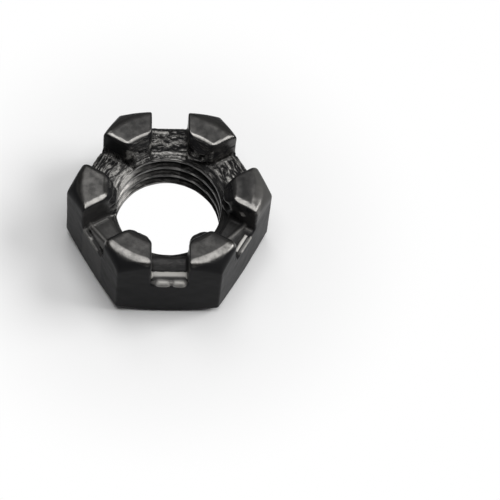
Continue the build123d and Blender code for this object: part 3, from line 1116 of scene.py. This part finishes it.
def cut_share(place):
    """1 in the back slots and the hole, little in the front slots and the thread's groove, 0 outside."""
    in_slot = (place.beside < CUT_MARGIN) * (place.z < FLOOR_Z + CUT_TO) * (place.z > FLOOR_Z + CUT_FROM)
    in_slot = in_slot * np.where(place.is_back, 1.0, FRONT_SLOT_CUT)
    in_hole = np.where(place.is_back | (place.z < FLOOR_Z - HOLE_BELOW), 1.0, FRONT_HOLE_CUT)
    in_groove = GROOVE_CUT + (1 - GROOVE_CUT) * ease(*GROOVE_EDGE, groove_distance(place.turn, place.z))
    in_hole = in_hole * np.where(place.z < FLOOR_Z, in_groove, 1.0)
    return np.where(place.radius < MAJOR_RADIUS + HOLE_MARGIN, in_hole, in_slot)


def grain_place(place, cut):
    """Lengths across and along the scratches, over the size of a grain."""
    stray = wander(place.points)
    milled = [(place.out + stray) / MILLED_GRAIN, place.across / MILLED_LENGTH, SLOT_LAYER * place.number]
    round_hole, climbed, radius = place.unrolled.T
    climbed = climbed + TAPPED_STRAY * stray
    tapped = [climbed / TAPPED_GRAIN, round_hole / TAPPED_LENGTH, radius / TAPPED_LAYER]
    in_hole = (place.radius < MAJOR_RADIUS + HOLE_MARGIN)[:, None]
    in_cut = np.where(in_hole, np.stack(tapped, axis=1), np.stack(milled, axis=1))
    return np.where(cut[:, None] > 0, in_cut, place.points / BAR_GRAIN)


full_cut = cut_share(skin_place)
skin_grain = grain_place(skin_place, full_cut)
skin_cut = full_cut * (1 - TORN_HIDES_CUT * skin_torn_and_highlight)
print("share of the points that a tool cut:", round(float((full_cut > 0).mean()), 3))

# %% [markdown]
# ## The mesh
# The finished points go to the mesh in one call. All of it is smooth shaded: the round edges are real
# geometry, so the shading needs no help. Wear, torn steel and grain go with the points, as attributes. An
# image could carry them too, but the skin would first have to be cut open and laid flat, and these need
# neither.

# %% Make the mesh
def make_piece(name, points, faces):
    """A mesh object at the origin, smooth shaded, with its points turned from millimetres to metres."""
    mesh = bpy.data.meshes.new(name)
    mesh.from_pydata((points * MM).tolist(), [], faces)
    mesh.polygons.foreach_set("use_smooth", np.ones(len(mesh.polygons), bool))
    mesh.update()
    piece = bpy.data.objects.new(name, mesh)
    bpy.context.scene.collection.objects.link(piece)
    return piece


def keep_values(piece, name, values):
    """Stores one number or one vector for each point of a mesh, for its material to read."""
    kind, field = ("FLOAT", "value") if values.ndim == 1 else ("FLOAT_VECTOR", "vector")
    layer = piece.data.attributes.new(name, kind, "POINT")
    layer.data.foreach_set(field, values.astype(np.float32).ravel())


nut = make_piece("slotted_nut_skin", skin_points, skin_quads.tolist() + skin_triangles.tolist())
# The wear and torn shares also hold painted highlights and painted light
keep_values(nut, "wear", skin_wear_and_highlight)
keep_values(nut, "torn", skin_torn_and_highlight)
keep_values(nut, "cut", skin_cut)
keep_values(nut, "grain", skin_grain)
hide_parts("slotted_nut")
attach(nut, "root")
print("faces:", len(nut.data.polygons), "points:", len(nut.data.vertices))

# %% [markdown]
# ## Tools for materials
# A material is a small network of nodes. Hex colours, as a maker's chart gives them, are sRGB and have to
# be turned into linear light first. Beyond that, one function that adds a node with its settings and its
# links is enough to write any network as a plain list.

# %% Material helpers
def linear(hex_colour):
    """An sRGB hex colour as linear light: c / 12.92 below 0.04045, else ((c + 0.055) / 1.055)^2.4."""
    values = [int(hex_colour[k:k + 2], 16) / 255 for k in (1, 3, 5)]
    return [c / 12.92 if c <= 0.04045 else ((c + 0.055) / 1.055) ** 2.4 for c in values] + [1]


def add_node(tree, kind, settings=None, inputs=None, links=None):
    """Adds a node, sets its properties and its sockets, and links other nodes' outputs into it."""
    node = tree.nodes.new(kind)
    for key, value in (settings or {}).items():
        setattr(node, key, value)
    for key, value in (inputs or {}).items():
        node.inputs[key].default_value = value
    for key, socket in (links or {}).items():
        tree.links.new(socket, node.inputs[key])
    return node


def new_material(name):
    """An empty node material and its tree."""
    material = bpy.data.materials.new(name)
    material.use_nodes = True
    material.node_tree.nodes.clear()
    return material, material.node_tree


print("black oxide in linear light:", round(linear("#1f1f20")[0], 4))

# %% [markdown]
# ## Black oxide steel
# The finish is black oxide: the nut hangs in a hot salt bath until its skin is magnetite, about a
# thousandth of a millimetre thick, and is then oiled. The eye sees a nearly black, neutral satin. The
# film is so thin that rubbing brings out the bare steel, and a cutter tears it away whole. So there is
# one material with three states in it, and the mesh says how much of each there is: black oxide, rubbed
# steel and torn steel. Three materials side by side would meet in hard lines, and the real finish fades.

# %% Colours, gloss and the sizes of the patterns
# Clean steel is about #c5c7c8. Rubbed steel is darker, because black stays in its hollows, and torn steel
# lies between. The black is that of the flats, which are hardly worn.
# Torn steel's light grey also colours the painted highlights and painted light that the torn share holds
OXIDE, RUBBED_STEEL, TORN_STEEL_AND_HIGHLIGHT = "#1f1f20", "#8c8a87", "#b4b2ae"

# The IOR stays at its default, as for any metal. At the default specular level the flats come out lighter
# than the object's, so the level is matched to the object.
OXIDE_SPECULAR = 0.03

# Polished steel has a roughness of about 0.2 and sandblasted steel of about 0.6. The satin lies between.
SATIN = {"To Min": 0.28, "To Max": 0.4}
TORN_ROUGHNESS = 0.55

# Torn steel is metal too, but its grains face every way. Mostly diffuse, it looks like that from every side.
TORN_METALLIC = 0.3

# Millimetres. Blotches are where the bath coloured the steel unevenly. Granules are torn grains of steel.
# Real ones are about 0.05 mm across, too fine to show, and are drawn more than four times as wide.
# Scratches are about 0.01 mm deep, too little to show, and their bump is drawn five times as high.
BLOTCH, GRANULE, GRAIN_HEIGHT = 1.111, 0.2273, 0.05
BLOTCHES = {"Scale": 1 / (BLOTCH * MM), "Detail": 4, "Roughness": 0.6}
GRANULES = {"Scale": 1 / (GRANULE * MM), "Detail": 1, "Roughness": 0.5}
GRAIN = {"Scale": 1, "Detail": 2, "Roughness": 0.6}
print("noise scales per metre:", round(BLOTCHES["Scale"]), round(GRANULES["Scale"]))

# %% [markdown]
# Rubbing turns the surface to metal quickly: here steel that is a quarter bare already mirrors the lamps.
# The colour follows more slowly, because black stays in the hollows. Where a tool cut, its grain breaks
# both up into streaks, and torn places are broken up by granules. Each of these is a range of one
# pattern, taken to a range of shares.

# %% Black oxide steel
# Noise stays mostly between 0.3 and 0.7, so a range from within that gives full contrast
METAL_GAIN = 4.0
SPOTS = {"From Min": 0.38, "From Max": 0.6, "To Min": 0.1, "To Max": 1.8}
RUBBED_BLOTCHES = {"From Min": 0.35, "From Max": 0.65, "To Min": 0.65, "To Max": 1.25}
STREAKS = {"From Min": 0.52, "From Max": 0.66, "To Min": 0.0, "To Max": 0.55}
BUMP_STRENGTH = {"To Min": 0.12, "To Max": 0.7}
CLAMPED = {"operation": "MULTIPLY", "use_clamp": True}

# A Mix node's sockets go by number: 0 is the factor, 2 and 3 are its numbers, 6 and 7 its colours
FLOAT_MIX, COLOUR_MIX = {"data_type": "FLOAT"}, {"data_type": "RGBA"}


def black_oxide_steel():
    """Black oxide, rubbed and torn steel, mixed by the mesh's values wear, torn, cut and grain."""
    material, tree = new_material("black_oxide_steel")
    place = add_node(tree, "ShaderNodeTexCoord").outputs["Object"]
    worn = add_node(tree, "ShaderNodeAttribute", {"attribute_name": "wear"}).outputs["Fac"]
    torn_and_highlight_here = add_node(tree, "ShaderNodeAttribute", {"attribute_name": "torn"}).outputs["Fac"]
    cut = add_node(tree, "ShaderNodeAttribute", {"attribute_name": "cut"}).outputs["Fac"]
    scratches = add_node(tree, "ShaderNodeAttribute", {"attribute_name": "grain"}).outputs["Vector"]
    blotches = add_node(tree, "ShaderNodeTexNoise", {}, BLOTCHES, {"Vector": place}).outputs["Fac"]
    grain = add_node(tree, "ShaderNodeTexNoise", {}, GRAIN, {"Vector": scratches}).outputs["Fac"]
    granules = add_node(tree, "ShaderNodeTexNoise", {}, GRANULES, {"Vector": place}).outputs["Fac"]

    # How much is torn or painted light: the mesh's share, broken up by the granules where a tool cut
    spots = add_node(tree, "ShaderNodeMapRange", {}, SPOTS, {"Value": granules}).outputs[0]
    coarse = add_node(tree, "ShaderNodeMix", FLOAT_MIX, {2: 1.0}, {0: cut, 3: spots}).outputs[0]
    torn_and_highlight_share = add_node(tree, "ShaderNodeMath", CLAMPED, {}, {0: torn_and_highlight_here, 1: coarse}).outputs[0]

    # How much is rubbed, the thread's painted highlight included: the mesh's share in blotches, plus streaks
    # of the grain where a tool cut
    blotched = add_node(tree, "ShaderNodeMapRange", {}, RUBBED_BLOTCHES, {"Value": blotches}).outputs[0]
    rubbed = add_node(tree, "ShaderNodeMath", {"operation": "MULTIPLY"}, {}, {0: worn, 1: blotched})
    streaked = add_node(tree, "ShaderNodeMapRange", {}, STREAKS, {"Value": grain}).outputs[0]
    bare = add_node(tree, "ShaderNodeMath", {"operation": "MULTIPLY_ADD", "use_clamp": True}, {},
                    {0: streaked, 1: cut, 2: rubbed.outputs[0]}).outputs[0]

    # Metal, colour and gloss, each first from black to rubbed and then from there to torn
    shiny = add_node(tree, "ShaderNodeMath", CLAMPED, {1: METAL_GAIN}, {0: bare}).outputs[0]
    metal = add_node(tree, "ShaderNodeMix", FLOAT_MIX, {3: TORN_METALLIC}, {0: torn_and_highlight_share, 2: shiny})
    black_to_rubbed = {6: linear(OXIDE), 7: linear(RUBBED_STEEL)}
    rubbed_colour = add_node(tree, "ShaderNodeMix", COLOUR_MIX, black_to_rubbed, {"Factor": bare}).outputs[2]
    colour = add_node(tree, "ShaderNodeMix", COLOUR_MIX, {7: linear(TORN_STEEL_AND_HIGHLIGHT)},
                      {"Factor": torn_and_highlight_share, 6: rubbed_colour})
    smooth = add_node(tree, "ShaderNodeMapRange", {}, SATIN, {"Value": blotches}).outputs[0]
    gloss = add_node(tree, "ShaderNodeMix", FLOAT_MIX, {3: TORN_ROUGHNESS}, {0: torn_and_highlight_share, 2: smooth})

    # The grain also stands out as a fine bump, strongest where a tool cut
    strength = add_node(tree, "ShaderNodeMapRange", {}, BUMP_STRENGTH, {"Value": cut}).outputs[0]
    fine = add_node(tree, "ShaderNodeBump", {}, {"Distance": GRAIN_HEIGHT * MM},
                    {"Height": grain, "Strength": strength})
    shader = add_node(tree, "ShaderNodeBsdfPrincipled", {}, {"Specular IOR Level": OXIDE_SPECULAR}, {
        "Base Color": colour.outputs[2], "Metallic": metal.outputs[0], "Roughness": gloss.outputs[0],
        "Normal": fine.outputs["Normal"]})
    add_node(tree, "ShaderNodeOutputMaterial", links={"Surface": shader.outputs["BSDF"]})
    return material


nut.data.materials.append(black_oxide_steel())
print("nodes in the nut's material:", len(nut.data.materials[0].node_tree.nodes))

# %% [markdown]
# ## Floor
# Small steel parts are shown on a white board. The board is matt, and near the nut it is a plain surface
# that keeps the nut's shadow. Further off a lit board would fade to grey, so there, and inside the hole,
# what the camera sees is plain white. Only rays that look at the board get that white: the light that
# falls on the nut stays the lamps'.

# %% Floor
BOARD_HALF, BOARD_Z = 3000.0, -0.02
BOARD_WHITE, BOARD_ROUGHNESS = "#f4f4f4", 0.9

# Distances from the nut's middle, over which the board turns to plain white outside it and in the hole
PLAIN = {"From Min": 19.0 * MM, "From Max": 45.0 * MM}
HOLE_PLAIN = {"From Min": 9.6 * MM, "From Max": 10.2 * MM, "To Min": 1.0, "To Max": 0.0}


def flat_board(name, half, z):
    """A square board of one face."""
    corners = np.array([(-half, -half, z), (half, -half, z), (half, half, z), (-half, half, z)])
    return make_piece(name, corners, [[0, 1, 2, 3]])


def matt_white_board():
    """Matt white paint, plainly white to the eye some distance off, with the nut's shadow kept around it."""
    material, tree = new_material("white_board")
    paint = {"Base Color": linear(BOARD_WHITE), "Roughness": BOARD_ROUGHNESS, "Specular IOR Level": 0.0}
    matt = add_node(tree, "ShaderNodeBsdfPrincipled", {}, paint).outputs[0]
    white = add_node(tree, "ShaderNodeEmission", {}, {"Strength": 1.0}).outputs[0]
    place = add_node(tree, "ShaderNodeTexCoord").outputs["Object"]
    away = add_node(tree, "ShaderNodeVectorMath", {"operation": "LENGTH"}, {}, {0: place}).outputs["Value"]
    eased = {"interpolation_type": "SMOOTHSTEP"}
    far = add_node(tree, "ShaderNodeMapRange", eased, PLAIN, {"Value": away}).outputs[0]
    within = add_node(tree, "ShaderNodeMapRange", eased, HOLE_PLAIN, {"Value": away}).outputs[0]
    plain = add_node(tree, "ShaderNodeMath", {"operation": "MAXIMUM"}, {}, {0: far, 1: within}).outputs[0]
    rays = add_node(tree, "ShaderNodeLightPath").outputs
    seen = add_node(tree, "ShaderNodeMath", {"operation": "ADD"}, {},
                    {0: rays["Is Camera Ray"], 1: rays["Is Glossy Ray"]}).outputs[0]
    seen = add_node(tree, "ShaderNodeMath", {"operation": "ADD", "use_clamp": True}, {},
                    {0: seen, 1: rays["Is Transmission Ray"]}).outputs[0]
    share = add_node(tree, "ShaderNodeMath", {"operation": "MULTIPLY"}, {}, {0: seen, 1: plain}).outputs[0]
    mixed = add_node(tree, "ShaderNodeMixShader", {}, {}, {0: share, 1: matt, 2: white})
    add_node(tree, "ShaderNodeOutputMaterial", links={"Surface": mixed.outputs[0]})
    return material


board = flat_board("floor", BOARD_HALF, BOARD_Z)
board.data.materials.append(matt_white_board())
print("board, metres:", round(2 * BOARD_HALF * MM, 2))

# %% [markdown]
# ## Lights
# Dark steel shows hardly any colour of its own: what the eye reads are the lamps mirrored in it. So each
# lamp is a large round softbox, placed where the faces that should shine mirror it. The one overhead
# lights the faces that lean towards the camera, the one at the right lights the flats there, and the one
# at the back is mirrored by the level tops. Together they give a white floor about its full light, so
# that any colour comes out as written.

# %% Lights
LIGHT_DISTANCE = 2.5
WORLD_STRENGTH = 0.07


def softbox(name, direction, half_angle, share):
    """A round lamp that fills a half-angle seen from the nut and gives a share of a white floor's full light.

    Its radiance is share * pi / (solid angle * height of its direction), and its watts are that radiance
    times pi times its area.
    """
    direction = Vector(direction).normalized()
    half = np.radians(half_angle)
    radiance = share * np.pi / (2 * np.pi * (1 - np.cos(half)) * direction.z)
    radius = LIGHT_DISTANCE * np.tan(half)
    lamp = bpy.data.lights.new(name, "AREA")
    lamp.shape = "DISK"
    lamp.size = 2 * radius
    lamp.energy = radiance * np.pi * np.pi * radius**2
    holder = bpy.data.objects.new(name, lamp)
    holder.location = direction * LIGHT_DISTANCE
    holder.rotation_euler = direction.to_track_quat("Z", "Y").to_euler()
    bpy.context.scene.collection.objects.link(holder)
    print(name, "radiance", round(radiance, 2), "watts", round(lamp.energy, 1))


# Where each lamp is seen from the nut, its half-angle in degrees, and its share of a white floor's light
softbox("overhead_softbox", (0.02, 0.0, 1), 21, 0.52)
softbox("side_softbox", (0.75, 0.06, 0.66), 16, 0.34)
softbox("back_softbox", (-0.12, 0.47, 0.87), 13, 0.09)

world = bpy.context.scene.world or bpy.data.worlds.new("studio")
bpy.context.scene.world = world
world.use_nodes = True
world.node_tree.nodes["Background"].inputs["Color"].default_value = (1, 1, 1, 1)
world.node_tree.nodes["Background"].inputs["Strength"].default_value = WORLD_STRENGTH

# %% [markdown]
# ## Camera
# The nut was photographed from above at about 61 degrees and from quite near, which draws its front wider
# than its back. A fit of the hexagon's corners in the picture gives the distance and the angles. The nut
# sits left of the picture's middle, so the camera is panned until the nut's centre falls on its pixel. A
# shifted lens would frame it too, but every other view of the nut would then inherit the shift.

# %% Camera
SENSOR = 36.0
FRAME_PIXELS = 500
FOCAL_PIXELS = 2714.1
EYE_DISTANCE = 439.0
EYE_ELEVATION = np.radians(61.1)
EYE_TURN = np.radians(4.19)
ROLL = np.radians(4.73)
NUT_PIXEL = (168.56, 210.69)
CLIP_START, CLIP_END = 0.01, 20


def place_camera():
    """Looks down on the nut from the front, panned so that its centre falls on NUT_PIXEL, and rolled."""
    centre = Vector((0, 0, HEIGHT / 2 * MM))
    level = np.cos(EYE_ELEVATION)
    back = Vector((-np.sin(EYE_TURN) * level, -np.cos(EYE_TURN) * level, np.sin(EYE_ELEVATION)))
    turn = (-back).to_track_quat("-Z", "Y") @ Matrix.Rotation(ROLL, 4, "Z").to_quaternion()
    half = FRAME_PIXELS / 2
    seen = Vector((NUT_PIXEL[0] - half, half - NUT_PIXEL[1], -FOCAL_PIXELS)).normalized()
    pan = seen.rotation_difference(Vector((0, 0, -1)))
    data = bpy.data.cameras.new("camera")
    data.sensor_width = SENSOR
    data.lens = SENSOR * FOCAL_PIXELS / FRAME_PIXELS
    data.clip_start = CLIP_START
    data.clip_end = CLIP_END
    camera = bpy.data.objects.new("camera", data)
    camera.rotation_mode = "QUATERNION"
    camera.rotation_quaternion = turn @ pan
    camera.location = centre + back * EYE_DISTANCE * MM
    bpy.context.scene.collection.objects.link(camera)
    bpy.context.scene.camera = camera
    print("lens, millimetres:", round(data.lens, 1))


place_camera()
bpy.context.scene.view_settings.view_transform = "Standard"
